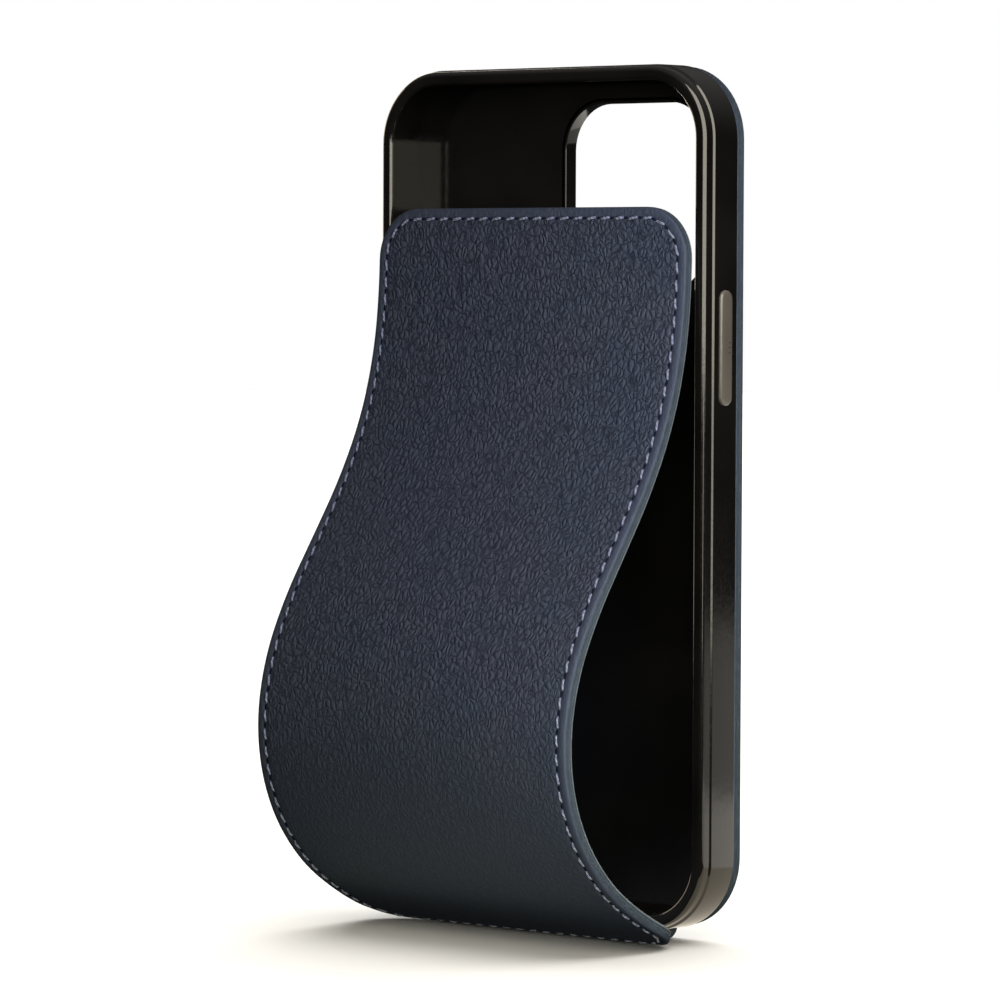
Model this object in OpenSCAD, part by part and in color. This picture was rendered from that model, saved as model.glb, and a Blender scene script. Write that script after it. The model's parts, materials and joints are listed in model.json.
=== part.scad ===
// Bottom-hinged leather flip case: a smoke-grey moulded tray, a leather back panel
// glued to it, and a lined leather flap that folds on a tongue under the tray.
// Millimetres. +Z is up, +X is right, the flap is on the -Y side.
// The origin is the middle of the tongue's underside, on the surface it stands on.

/* [Pocket] */
// Width of the pocket inside the tray
pocket_w = 78.3; // [70:0.1:90]
// Height of the pocket inside the tray
pocket_h = 161; // [140:0.5:175]
// Depth of the pocket, from under the lip to the tray's floor
pocket_d = 7.4; // [6.5:0.1:10]
// Corner radius of the pocket
pocket_r = 12; // [8:0.1:16]

/* [Tray] */
// Thickness of the tray's side walls
wall_t = 2.4; // [1:0.1:3]
// Thickness of the tray's floor, behind the pocket
floor_t = 0.9; // [0.6:0.1:2]
// Thickness of the front lip
lip_t = 1.4; // [0.8:0.1:2]
// How far the lip reaches in over the pocket
lip_reach = 0.7; // [0.5:0.1:2.5]
// Depth of the narrower bezel at the front of the walls
bezel_d = 2.3; // [1.5:0.1:3]
// How far the bezel steps in from the walls
bezel_step = 0.35; // [0.1:0.05:0.6]
// Chamfer on the tray's outer edges
edge_c = 0.4; // [0.1:0.05:0.5]

/* [Camera window] */
// Width of the window
window_w = 35; // [20:0.5:45]
// Height of the window
window_h = 36; // [20:0.5:60]
// Corner radius of the window
window_r = 9; // [3:0.5:10]
// Distance from the tray's side and top to the window
window_inset = 7; // [5:0.5:12]
// Thickness of the collar that lines the window
collar_t = 1; // [0.6:0.1:2]
// Gap between the collar and the panel around it
collar_gap = 0.2; // [0.1:0.05:0.5]

/* [Buttons] */
// Width of every button
button_w = 3.6; // [2.5:0.1:4.5]
// How far the buttons stand out of the wall
button_raise = 0.6; // [0.3:0.05:1]
// Gap around each button in the wall
button_gap = 0.15; // [0.1:0.05:0.3]
// Middle of the buttons behind the front lip
button_back = 6; // [5:0.1:6.5]
// Length of the side button on the right wall
side_button_len = 22; // [10:0.5:30]
// Middle of the side button below the tray's top
side_button_drop = 54; // [35:0.5:70]
// Length of each volume button on the left wall
volume_len = 12; // [8:0.5:15]
// Middle of the upper volume button below the tray's top
volume_drop = 51; // [45:0.5:60]
// Distance between the middles of the two volume buttons
volume_pitch = 16.5; // [16:0.5:24]
// Length of the switch slot on the left wall
switch_len = 8; // [6:0.5:10]
// Middle of the switch slot below the tray's top
switch_drop = 36; // [31:0.5:38]
// Width of the switch slot
switch_w = 5; // [3:0.1:5.5]

/* [Bottom cut-outs] */
// Width of the charging port
port_w = 14; // [10:0.5:16]
// Depth of the charging port, front to back
port_d = 5.6; // [4.5:0.1:6]
// Width of each speaker slot
speaker_w = 13; // [6:0.5:14]
// Depth of each speaker slot, front to back
speaker_d = 2.4; // [1.5:0.1:3.5]
// Middle of each speaker slot to the side of the port's middle
speaker_x = 18; // [16:0.5:19]

/* [Leather] */
// Thickness of the outer leather
leather_t = 1.3; // [0.8:0.1:2]
// Thickness of the lining
lining_t = 0.9; // [0.6:0.1:1.6]
// Thickness of the adhesive sheet between the tray and the back panel
glue_t = 0.15; // [0.1:0.05:0.4]
// How far the adhesive sheet stays inside the panel's edge
glue_inset = 3; // [1:0.5:6]
// How far the back panel stays inside the tray's edge
panel_inset = 0.2; // [0:0.1:1]

/* [Flap] */
// How far the closed flap stays inside the tray's sides
flap_side_inset = 2.55; // [0.5:0.05:4]
// How far the closed flap stays below the tray's top
flap_top_inset = 1.15; // [0.5:0.05:4]
// Corner radius of the flap
flap_r = 10; // [4:0.5:12]
// Gap between the closed flap and the lip
flap_gap = 0.3; // [0.2:0.1:1]
// Gap between the lip and the free edge of the flap as it stands open
rest_gap = 0.4; // [0.2:0.1:2]
// Angle off upright at which the flap leaves its fold
leave_angle = 67.5; // [40:0.5:80]
// Length along the flap at which it leans back the most
back_at = 94.5; // [85:0.5:105]
// Length along the flap at which it stands upright again
upright_at = 163.5; // [140:0.5:164]

/* [Tongue] */
// Width of the tongue that joins the flap to the back panel
tongue_w = 52; // [30:0.5:56]
// Gap between the tongue and the tray standing on it
tongue_gap = 0.2; // [0.1:0.05:0.5]
// Running gap at every fold line
fold_gap = 0.15; // [0.1:0.05:0.3]

/* [Seams] */
// Distance from the leather's edge to the seam
seam_inset = 1.8; // [1.2:0.1:4]
// Diameter of the thread
thread_d = 0.7; // [0.3:0.05:1]
// Gap around the back panel's thread in its groove
thread_gap = 0.05; // [0.02:0.01:0.15]
// Length of seam left out on each side of a fold line
seam_break = 0.9; // [0.8:0.1:1.5]

/* [Hidden] */
$fn = 64;
flap_count = 12;
function numbered(stem, i) = str(stem, i < 9 ? "0" : "", i + 1);
function numbered_list(stem) = [for (i = [0 : flap_count - 1]) numbered(stem, i)];

// Colours
smoke = [0.26, 0.24, 0.21];
navy = [0.13, 0.15, 0.20];
slate = [0.24, 0.27, 0.31];
lavender = [0.62, 0.63, 0.80];
amber = [0.75, 0.70, 0.55];

// Overlap for cuts and joined solids
slip = 1;

// The laminate of leather and lining, as thick in the panel as in the tongue and flap
sheet_t = leather_t + lining_t;

// Outer size of the tray
tray_w = pocket_w + 2 * wall_t;
tray_h = pocket_h + 2 * wall_t;
tray_d = lip_t + pocket_d + floor_t;
tray_r = pocket_r + wall_t;

// Depth from the front lip to each layer behind the tray
panel_front = tray_d + glue_t;
panel_back = panel_front + sheet_t;

// Fold axes: the flap folds in front of the lip, the tongue behind the tray
fold_z = sheet_t / 2;
tongue_len = panel_front + sheet_t + flap_gap;
front_fold_y = -tongue_len / 2;
back_fold_y = tongue_len / 2;

// Place of the tray
lip_y = front_fold_y + sheet_t / 2 + flap_gap;
tray_z = sheet_t + tongue_gap;
tray_top = tray_z + tray_h;
mid_z = tray_z + tray_h / 2;
pocket_mid_y = lip_y + lip_t + pocket_d / 2;

// Place of the camera window
window_x = tray_w / 2 - window_inset - window_w / 2;
window_z = tray_top - window_inset - window_h / 2;

// Back panel outline
panel_w = tray_w - 2 * panel_inset;
panel_h = tray_h - 2 * panel_inset;
panel_r = tray_r - panel_inset;

// The flap's outline, and one stiff stretch of it between two fold lines
flap_w = tray_w - 2 * flap_side_inset;
flap_len = tray_top - flap_top_inset - fold_z;
flap_full = flap_len + sheet_t / 2;
stretch = flap_len / flap_count;

// Lean off upright, positive forward, at a length s along a flap that leans back by an angle
function lean(s, back) = s < back_at
    ? (leave_angle - back) / 2 + (leave_angle + back) / 2 * cos(180 * s / back_at)
    : -back * (1 + cos(180 * min(1, (s - back_at) / (upright_at - back_at)))) / 2;

// How far back of its fold the free edge then stands, summed over the stretches
function edge_y(back, i = 0) = i == flap_count
    ? 0
    : edge_y(back, i + 1) - stretch * sin(lean((i + 0.5) * stretch, back));

// Halves the span of angles until the free edge stands at its gap from the lip
function find_back(low, high, halvings) = let (mid = (low + high) / 2)
    halvings == 0 ? mid
    : edge_y(mid) < flap_gap - rest_gap ? find_back(mid, high, halvings - 1)
    : find_back(low, mid, halvings - 1);
back_angle = find_back(0, 90, 40);
function stretch_lean(i) = lean((i + 0.5) * stretch, back_angle);

// Fold line, as [y, z], at the lower end of a stretch
function fold_at(i) = i == 0
    ? [front_fold_y, fold_z]
    : fold_at(i - 1) + stretch * [-sin(stretch_lean(i - 1)), cos(stretch_lean(i - 1))];

module rounded_rect(w, h, r) {
    square([w - 2 * r, h], center = true);
    square([w, h - 2 * r], center = true);
    for (x = [-1, 1], y = [-1, 1])
        translate([x * (w / 2 - r), y * (h / 2 - r)]) circle(r);
}

module stadium(l, w) {
    square([l - w, w], center = true);
    for (x = [-1, 1]) translate([x * (l - w) / 2, 0]) circle(w / 2);
}

// Upright plate with rounded corners, between two depths behind the lip
module slab(w, h, r, from, to, x = 0, z = mid_z) {
    translate([x, lip_y + to, z])
        rotate([90, 0, 0]) linear_extrude(to - from) rounded_rect(w, h, r);
}

// Sweeps a profile round an upright rounded rectangle; profile x points outwards, y backwards
module sweep_round(w, h, r) {
    rotate([-90, 0, 0]) {
        for (turn = [0 : 3]) {
            across = turn % 2 == 0 ? w : h;
            along = turn % 2 == 0 ? h : w;
            rotate(90 * turn) {
                translate([across / 2 - r, along / 2 - r, 0])
                    rotate_extrude(angle = 90) translate([r, 0]) children();
                translate([across / 2, along / 2 - r, 0])
                    rotate([90, 0, 0]) linear_extrude(along - 2 * r) children();
            }
        }
    }
}

// Pill-shaped block through a side wall, at a drop below the tray's top
module wall_pill(l, w, from, to, drop) {
    translate([from, lip_y + button_back, tray_top - drop])
        rotate([0, 90, 0]) linear_extrude(to - from) stadium(l, w);
}

// Slot down through the bottom wall
module bottom_slot(l, w, x) {
    translate([x, pocket_mid_y, tray_z - slip])
        linear_extrude(wall_t + 2 * slip) stadium(l, w);
}

module button_slot(l, drop) {
    wall_pill(l + 2 * button_gap, button_w + 2 * button_gap,
              pocket_w / 2 - slip, tray_w / 2 + slip, drop);
}

module button_body(l, drop) {
    proud = tray_w / 2 + button_raise;
    wall_pill(l, button_w, pocket_w / 2 + button_gap, proud - edge_c / 2, drop);
    wall_pill(l - edge_c, button_w - edge_c, pocket_w / 2 + wall_t / 2, proud, drop);
}

module left_side() { mirror([1, 0, 0]) children(); }

module tray_rim() {
    bezel = wall_t - bezel_step;
    sweep_round(pocket_w, pocket_h, pocket_r)
        polygon([
            [-lip_reach, lip_t], [-lip_reach, edge_c], [edge_c - lip_reach, 0],
            [bezel - edge_c, 0], [bezel, edge_c], [bezel, bezel_d], [wall_t, bezel_d + bezel_step],
            [wall_t, tray_d - edge_c], [wall_t - edge_c, tray_d], [0, tray_d], [0, lip_t]]);
}

module tpu_tray() color(smoke) difference() {
    union() {
        translate([0, lip_y, mid_z]) tray_rim();
        slab(pocket_w + wall_t / 2, pocket_h + wall_t / 2, pocket_r + wall_t / 4,
             tray_d - floor_t, tray_d);
        slab(window_w + 2 * collar_t, window_h + 2 * collar_t, window_r + collar_t,
             tray_d - floor_t, panel_back, window_x, window_z);
    }
    slab(window_w, window_h, window_r, tray_d - floor_t - slip, panel_back + slip, window_x, window_z);
    button_slot(side_button_len, side_button_drop);
    left_side() {
        button_slot(volume_len, volume_drop);
        button_slot(volume_len, volume_drop + volume_pitch);
        wall_pill(switch_len, switch_w, pocket_w / 2 - slip, tray_w / 2 + slip, switch_drop);
    }
    bottom_slot(port_w, port_d, 0);
    for (side = [-1, 1]) bottom_slot(speaker_w, speaker_d, side * speaker_x);
}

module side_button() color(smoke) button_body(side_button_len, side_button_drop);

module volume_up_button() color(smoke) left_side() button_body(volume_len, volume_drop);

module volume_down_button() color(smoke)
    left_side() button_body(volume_len, volume_drop + volume_pitch);

// One layer behind the tray, open round the window's collar
module back_layer(inset, from, to) {
    around = collar_t + collar_gap;
    difference() {
        slab(panel_w - 2 * inset, panel_h - 2 * inset, panel_r - inset, from, to);
        slab(window_w + 2 * around, window_h + 2 * around, window_r + around,
             from - slip, to + slip, window_x, window_z);
    }
}

module adhesive_sheet() color(amber) back_layer(glue_inset, tray_d, panel_front);

module back_lining() color(slate) back_layer(0, panel_front, panel_front + lining_t);

// Half-round section of the thread, in front of the plane it lies on
module half_thread() {
    intersection() {
        circle(thread_d / 2);
        translate([0, -thread_d / 2]) square(thread_d, center = true);
    }
}

// Sweeps a section along the seam line of a sheet
module seam_round(w, h, r) {
    sweep_round(w - 2 * seam_inset, h - 2 * seam_inset, r - seam_inset) children();
}

// The back panel's thread is pressed in flush, so that the panel lies flat
module back_seam_round() {
    translate([0, lip_y + panel_back, mid_z]) seam_round(panel_w, panel_h, panel_r) children();
}

module back_leather() color(navy) difference() {
    back_layer(0, panel_front + lining_t, panel_back);
    back_seam_round() circle(thread_d / 2 + thread_gap);
}

module back_seam() color(lavender) back_seam_round() half_thread();

// Round fold line across a sheet
module fold_rod(w, r, y, z) {
    translate([-w / 2, y, z]) rotate([0, 90, 0]) cylinder(r = r, h = w);
}

// Horizontal layer of the tongue, hollowed at its front end for the flap's fold
module tongue_layer(from, to) {
    clear_r = sheet_t / 2 + fold_gap;
    intersection() {
        difference() {
            union() {
                translate([-tongue_w / 2, front_fold_y, 0]) cube([tongue_w, tongue_len, sheet_t]);
                fold_rod(tongue_w, sheet_t / 2, back_fold_y, fold_z);
            }
            fold_rod(tongue_w + slip, clear_r, front_fold_y, fold_z);
            translate([-tongue_w / 2 - slip, front_fold_y - slip, fold_z])
                cube([tongue_w + 2 * slip, clear_r + slip, sheet_t]);
        }
        translate([-tongue_w / 2, front_fold_y, from])
            cube([tongue_w, tongue_len + sheet_t, to - from]);
    }
}

module tongue_leather() color(navy) tongue_layer(0, leather_t);

module tongue_lining() color(slate) tongue_layer(leather_t, sheet_t);

// Puts a stretch of the flap, drawn upright on its fold line, at its place and lean
module at_stretch(i) {
    fold = fold_at(i);
    translate([0, fold[0], fold[1]]) rotate([stretch_lean(i), 0, 0]) children();
}

// Middle of the whole flap's outline, seen from one stretch
function outline_mid(i) = flap_full / 2 - sheet_t / 2 - i * stretch;

// Layer of one stretch: round at its lower fold, hollowed for the next one at its upper fold
module flap_layer(i, from, to) {
    intersection() {
        difference() {
            union() {
                translate([-flap_w / 2, -sheet_t / 2, 0]) cube([flap_w, sheet_t, stretch]);
                fold_rod(flap_w, sheet_t / 2, 0, 0);
            }
            if (i < flap_count - 1)
                fold_rod(flap_w + slip, sheet_t / 2 + fold_gap, 0, stretch);
        }
        translate([0, sheet_t, outline_mid(i)])
            rotate([90, 0, 0]) linear_extrude(2 * sheet_t) rounded_rect(flap_w, flap_full, flap_r);
        translate([-flap_w / 2, from - sheet_t / 2, -sheet_t])
            cube([flap_w, to - from, stretch + 2 * sheet_t]);
    }
}

module flap_leather(i) color(navy) at_stretch(i) flap_layer(i, 0, leather_t);

module flap_lining(i) color(slate) at_stretch(i) flap_layer(i, leather_t, sheet_t);

module flap_seam(i) color(lavender) at_stretch(i) intersection() {
    translate([0, -sheet_t / 2, outline_mid(i)]) seam_round(flap_w, flap_full, flap_r) half_thread();
    low = i == 0 ? 0 : seam_break;
    high = i == flap_count - 1 ? stretch : stretch - seam_break;
    translate([-flap_w / 2, -sheet_t, low]) cube([flap_w, sheet_t, high - low]);
}

tpu_tray();
side_button();
volume_up_button();
volume_down_button();
adhesive_sheet();
back_lining();
back_leather();
back_seam();
tongue_lining();
tongue_leather();
for (i = [0 : flap_count - 1]) {
    flap_lining(i);
    flap_leather(i);
    flap_seam(i);
}
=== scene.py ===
import json
import math

import bmesh
import bpy
import numpy as np
from mathutils import Matrix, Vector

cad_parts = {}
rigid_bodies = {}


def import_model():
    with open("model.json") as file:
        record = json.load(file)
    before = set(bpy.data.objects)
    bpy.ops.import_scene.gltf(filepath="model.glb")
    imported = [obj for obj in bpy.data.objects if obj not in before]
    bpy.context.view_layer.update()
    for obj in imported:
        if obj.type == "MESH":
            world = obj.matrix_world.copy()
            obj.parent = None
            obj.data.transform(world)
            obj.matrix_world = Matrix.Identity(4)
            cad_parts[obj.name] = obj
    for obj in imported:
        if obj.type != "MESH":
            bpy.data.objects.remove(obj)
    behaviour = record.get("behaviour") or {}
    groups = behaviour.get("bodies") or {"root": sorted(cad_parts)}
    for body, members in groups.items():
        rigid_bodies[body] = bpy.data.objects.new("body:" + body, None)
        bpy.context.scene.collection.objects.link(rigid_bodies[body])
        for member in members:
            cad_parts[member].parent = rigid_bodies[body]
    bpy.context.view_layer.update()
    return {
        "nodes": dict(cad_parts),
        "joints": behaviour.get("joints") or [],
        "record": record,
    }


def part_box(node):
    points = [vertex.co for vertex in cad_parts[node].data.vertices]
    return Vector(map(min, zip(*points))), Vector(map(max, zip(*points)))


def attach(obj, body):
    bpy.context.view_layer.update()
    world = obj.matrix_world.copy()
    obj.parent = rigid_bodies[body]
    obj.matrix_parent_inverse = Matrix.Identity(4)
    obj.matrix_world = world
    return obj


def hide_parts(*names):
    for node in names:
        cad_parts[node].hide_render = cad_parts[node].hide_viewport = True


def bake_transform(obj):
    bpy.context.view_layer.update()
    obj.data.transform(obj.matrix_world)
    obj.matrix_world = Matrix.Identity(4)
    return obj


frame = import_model()

# Lengths in this script are millimetres until a mesh or light is made
MM = 0.001
# Flat coordinates of the leather are stored in units of this many millimetres
UV_UNIT = 100.0


# What the frame gives

def in_mm(values):
    return np.array(values, float) / MM


def node_box(name):
    low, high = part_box(name)
    return in_mm(low), in_mm(high)


def span(name, axis):
    low, high = node_box(name)
    return high[axis] - low[axis]


X, Y, Z = 0, 1, 2
joints = {joint["name"]: joint for joint in frame["joints"]}
ratios = {c["joint"]: c["ratio"] for c in frame["record"]["behaviour"]["couplings"]}
bend_names = sorted(name for name in joints if name.startswith("flap_bend_"))
strip_count = len(bend_names) + 1

tray_low, tray_high = node_box("tpu_tray")
lip_y = tray_low[Y]
panel_low, panel_high = node_box("back_leather")
panel_face = panel_high[Y]
leather_t = span("back_leather", Y)
lining_t = span("back_lining", Y)
sheet_t = leather_t + lining_t
flap_w = span("flap_leather_06", X)
tongue_w = span("tongue_leather", X)

# Heights of the leather's outer face, of the layers' meeting and of the lining's inner face
FACE_H = sheet_t / 2
MEET_H = FACE_H - leather_t
BACK_H = -sheet_t / 2


# The bent middle line of the tongue and flap, measured from the front fold

fold_points = [in_mm(joints[name]["pos_m"])[1:] for name in ["tongue_fold", "flap_close"] + bend_names]
stretch = float(np.linalg.norm(fold_points[2] - fold_points[1]))
tongue_len = float(np.linalg.norm(fold_points[1] - fold_points[0]))
flap_len = stretch * strip_count
flap_end = -sheet_t / 2
closing = math.radians(joints["flap_close"]["range_deg"][1])

DOWN, FORWARD = math.pi, math.pi / 2
leans = [DOWN, FORWARD, closing]
for bend_name in bend_names:
    leans.append(leans[-1] + closing * ratios[bend_name])

BACK_FOLD_REACH = 1.5
FRONT_FOLD_REACH = 3.0
fold_at = np.array([-tongue_len] + [stretch * i for i in range(strip_count)])
fold_reach = np.array([BACK_FOLD_REACH, FRONT_FOLD_REACH] + [stretch / 2] * len(bend_names))


# A turn of fewer radians counts as straight
NO_TURN = 1e-6


def heading(lean):
    return np.stack((-np.sin(lean), np.cos(lean)), axis=-1)


def middle_line(s):
    """Place (y, z) and lean of the middle line, at lengths s from the front fold."""
    places = np.empty((len(s), 2))
    lean_there = np.empty(len(s))
    nearest = np.searchsorted((fold_at[:-1] + fold_at[1:]) / 2, s)
    for k, corner in enumerate(fold_points):
        mine = nearest == k
        from_fold = s[mine] - fold_at[k]
        before, after = leans[k], leans[k + 1]
        reach = fold_reach[k]
        share = np.clip((from_fold + reach) / (2 * reach), 0, 1)
        lean = before + share * (after - before)
        start = corner - reach * heading(before)
        turn = after - before
        if abs(turn) < NO_TURN:
            on_arc = start + (share * 2 * reach)[:, None] * heading(before)
        else:
            radius = reach / math.tan(turn / 2)
            on_arc = start + radius * (np.stack((np.cos(lean), np.sin(lean)), axis=-1)
                                       - np.array((math.cos(before), math.sin(before))))
        past = from_fold - np.clip(from_fold, -reach, reach)
        places[mine] = on_arc + past[:, None] * heading(lean)
        lean_there[mine] = lean
    return places, lean_there


# The flap stands this far out past its middle line, so that it clears the rim when closed
PROUD, PROUD_FROM, PROUD_FULL = 0.35, 4.0, 26.0


def lay_bent(flat):
    """Flat points (across, along, outwards) laid along the bent middle line."""
    places, lean = middle_line(flat[:, 1])
    out = flat[:, 2] + np.interp(flat[:, 1], (PROUD_FROM, PROUD_FULL), (0.0, PROUD))
    y, z = places[:, 0] - out * np.cos(lean), places[:, 1] - out * np.sin(lean)
    return np.column_stack((flat[:, 0], y, z))


def on_middle_line(s):
    place, _ = middle_line(np.array([s]))
    return (0.0, place[0][0] * MM, place[0][1] * MM)


# Mesh making

def add_object(name, mesh):
    piece = bpy.data.objects.new(name, mesh)
    bpy.context.scene.collection.objects.link(piece)
    return piece


def make_piece(name, points, faces, materials, face_material=None, flat=None, inset=None):
    """A mesh object from points in millimetres, with flat coordinates and edge distances where given."""
    mesh = bpy.data.meshes.new(name)
    mesh.from_pydata((np.asarray(points) * MM).tolist(), [], [tuple(face) for face in faces])
    for material in materials:
        mesh.materials.append(material)
    if face_material is not None:
        mesh.polygons.foreach_set("material_index", np.asarray(face_material, np.int32))
    mesh.polygons.foreach_set("use_smooth", np.ones(len(mesh.polygons), bool))
    if flat is not None:
        corner = np.empty(len(mesh.loops), np.int32)
        mesh.loops.foreach_get("vertex_index", corner)
        layer = mesh.uv_layers.new(name="flat")
        layer.data.foreach_set("uv", (np.asarray(flat)[corner, :2] / UV_UNIT).astype(np.float32).ravel())
    if inset is not None:
        layer = mesh.attributes.new("inset", "FLOAT", "POINT")
        layer.data.foreach_set("value", np.asarray(inset, np.float32))
    mesh.update()
    return add_object(name, mesh)


def face_outwards(piece):
    work = bmesh.new()
    work.from_mesh(piece.data)
    bmesh.ops.recalc_face_normals(work, faces=work.faces)
    work.to_mesh(piece.data)
    work.free()


CRISP_FROM = math.radians(38)


def crisp(piece):
    """Keeps edges sharper than an angle crisp in a smooth-shaded mesh."""
    piece.data.set_sharp_from_angle(angle=CRISP_FROM)


def carve(piece, cutters):
    """Cuts the cutters' closed meshes out of a piece."""
    for cutter in cutters:
        face_outwards(cutter)
        cut = piece.modifiers.new("cut", "BOOLEAN")
        cut.operation = "DIFFERENCE"
        cut.solver = "EXACT"
        cut.object = cutter
    bpy.context.view_layer.update()
    whole = piece.evaluated_get(bpy.context.evaluated_depsgraph_get())
    carved = bpy.data.meshes.new_from_object(whole)
    piece.modifiers.clear()
    piece.data = carved
    for cutter in cutters:
        bpy.data.objects.remove(cutter)


def joined(parts):
    """One list of points and faces from several (points, faces) pairs."""
    points, faces, start = [], [], 0
    for part_points, part_faces in parts:
        points.append(part_points)
        faces += [tuple(int(i) + start for i in face) for face in part_faces]
        start += len(part_points)
    return np.concatenate(points), faces


def band_faces(loop_count, ring_a, ring_b):
    """Quads between two closed rings of equal length."""
    return [(ring_a[i], ring_a[(i + 1) % loop_count], ring_b[(i + 1) % loop_count], ring_b[i])
            for i in range(loop_count)]


def rounded_sheet(width, length, radius, profile, across_steps, along_step, arc_steps):
    """Closed flat sheet with rounded corners, its lower edge at zero.

    The profile lists (inset, height) from the inner border of one face, round the edge, to the
    other face's. Returns points (across, along, height), faces, each face's band and each point's inset.
    """
    border = profile[0][0]
    half, corner_r = width / 2 - border, radius - border
    turns = np.linspace(-math.pi / 2, 0, arc_steps + 1)
    low_rows = [(half - corner_r + corner_r * math.cos(t), border + corner_r + corner_r * math.sin(t),
                 math.cos(t), math.sin(t)) for t in turns]
    straight_ends = (border + corner_r, length - border - corner_r)
    straight_count = max(1, round((straight_ends[1] - straight_ends[0]) / along_step))
    straight_rows = [(half, v, 1.0, 0.0) for v in np.linspace(*straight_ends, straight_count + 1)[1:-1]]
    high_rows = [(x, length - v, nx, -nv) for x, v, nx, nv in reversed(low_rows)]
    rows = np.array(low_rows + straight_rows + high_rows)
    row_count, column_count = len(rows), across_steps + 1
    grid = np.empty((row_count, column_count, 2))
    grid[:, :, 0] = rows[:, :1] * np.linspace(-1, 1, column_count)
    grid[:, :, 1] = rows[:, 1:2]
    index = np.arange(row_count * column_count).reshape(row_count, column_count)
    loop = np.concatenate((index[0], index[1:-1, -1], index[-1, ::-1], index[-2:0:-1, 0]))
    outwards = np.concatenate((
        np.tile((0.0, -1.0), (column_count, 1)), rows[1:-1, 2:],
        np.tile((0.0, 1.0), (column_count, 1)), rows[-2:0:-1, 2:] * (-1, 1)))
    flat_grid = grid.reshape(-1, 2)
    base = flat_grid[loop]
    points = [np.column_stack((flat_grid, np.full(len(flat_grid), profile[0][1])))]
    insets = [np.full(len(flat_grid), border)]
    quads = [(index[i, j], index[i, j + 1], index[i + 1, j + 1], index[i + 1, j])
             for i in range(row_count - 1) for j in range(across_steps)]
    faces, bands = list(quads), [0] * len(quads)
    start, ring = len(flat_grid), loop
    for band, (inset, height) in enumerate(profile[1:], 1):
        last = band == len(profile) - 1
        places = flat_grid if last else base + outwards * (border - inset)
        points.append(np.column_stack((places, np.full(len(places), height))))
        insets.append(np.full(len(places), inset))
        next_ring = (loop if last else np.arange(len(loop))) + start
        made = band_faces(len(loop), next_ring, ring)
        faces += made
        bands += [band] * len(made)
        if last:
            under = [tuple(i + start for i in reversed(quad)) for quad in quads]
            faces += under
            bands += [band + 1] * len(under)
        start += len(points[-1])
        ring = next_ring
    return np.concatenate(points), faces, np.array(bands), np.concatenate(insets)


# Materials

class Nodes:
    """Adds nodes to a tree."""

    def __init__(self, tree):
        self.tree = tree

    def add(self, kind, inputs=None, **settings):
        node = self.tree.nodes.new(kind)
        for key, value in settings.items():
            setattr(node, key, value)
        for key, value in (inputs or {}).items():
            self.feed(value, node.inputs[key])
        return node

    def feed(self, value, socket):
        if isinstance(value, bpy.types.NodeSocket):
            self.tree.links.new(value, socket)
        else:
            socket.default_value = value

    def ramp(self, value, low, high, to_low=0.0, to_high=1.0):
        """Smooth step of a value between two limits."""
        return self.add("ShaderNodeMapRange", {"Value": value, "From Min": low, "From Max": high,
                                               "To Min": to_low, "To Max": to_high},
                        interpolation_type="SMOOTHSTEP").outputs["Result"]


class Surface(Nodes):
    """Builds one procedural material."""

    def __init__(self, name, **settings):
        self.material = bpy.data.materials.new(name)
        self.material.use_nodes = True
        super().__init__(self.material.node_tree)
        self.shader = self.tree.nodes["Principled BSDF"]
        for socket, value in settings.items():
            self.shader.inputs[socket.replace("_", " ")].default_value = value

    def in_mm(self, kind, unit):
        where = self.add("ShaderNodeTexCoord").outputs[kind]
        return self.add("ShaderNodeMapping", {"Vector": where, "Scale": (unit,) * 3}).outputs["Vector"]

    def flat_mm(self):
        """Flat coordinates of a sheet, in millimetres."""
        return self.in_mm("UV", UV_UNIT)

    def object_mm(self):
        return self.in_mm("Object", 1 / MM)

    def noise(self, where, scale, detail=3.0, roughness=0.5):
        return self.add("ShaderNodeTexNoise", {"Vector": where, "Scale": scale, "Detail": detail,
                                               "Roughness": roughness}).outputs

    def math(self, operation, a, b, kind="ShaderNodeMath"):
        return self.add(kind, {0: a, 1: b}, operation=operation).outputs[0]

    def vector(self, operation, a, b):
        return self.math(operation, a, b, "ShaderNodeVectorMath")

    def mix(self, share, a, b):
        return self.add("ShaderNodeMix", {"Factor": share, 6: a, 7: b}, data_type="RGBA").outputs[2]

    def warped(self, where, scale, amount):
        """Coordinates pushed about by noise, by an amount in their own unit."""
        push = self.vector("SUBTRACT", self.noise(where, scale, 2.0)["Color"], (0.5, 0.5, 0.5))
        return self.vector("ADD", where, self.vector("MULTIPLY", push, (amount, amount, amount)))

    def cells(self, where, scale, width):
        """Creases, from one on the borders of a cell pattern to none a width away."""
        borders = self.add("ShaderNodeTexVoronoi", {"Vector": where, "Scale": scale},
                           feature="DISTANCE_TO_EDGE")
        return self.ramp(borders.outputs["Distance"], 0.0, width, 1.0, 0.0)

    def bump(self, height, depth_mm, strength=1.0):
        node = self.add("ShaderNodeBump", {"Height": height, "Strength": strength,
                                           "Distance": depth_mm * MM})
        self.tree.links.new(node.outputs["Normal"], self.shader.inputs["Normal"])

    def colour(self, socket):
        self.tree.links.new(socket, self.shader.inputs["Base Color"])

    def roughness(self, value, least, most, low=0.2, high=0.8):
        self.tree.links.new(self.ramp(value, low, high, least, most), self.shader.inputs["Roughness"])


def opaque(r, g, b):
    return (r, g, b, 1.0)


# Lengths along the flap between which its bend pulls the grain smooth
SMOOTH_BELOW, GRAINY_ABOVE = 32.0, 82.0


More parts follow.
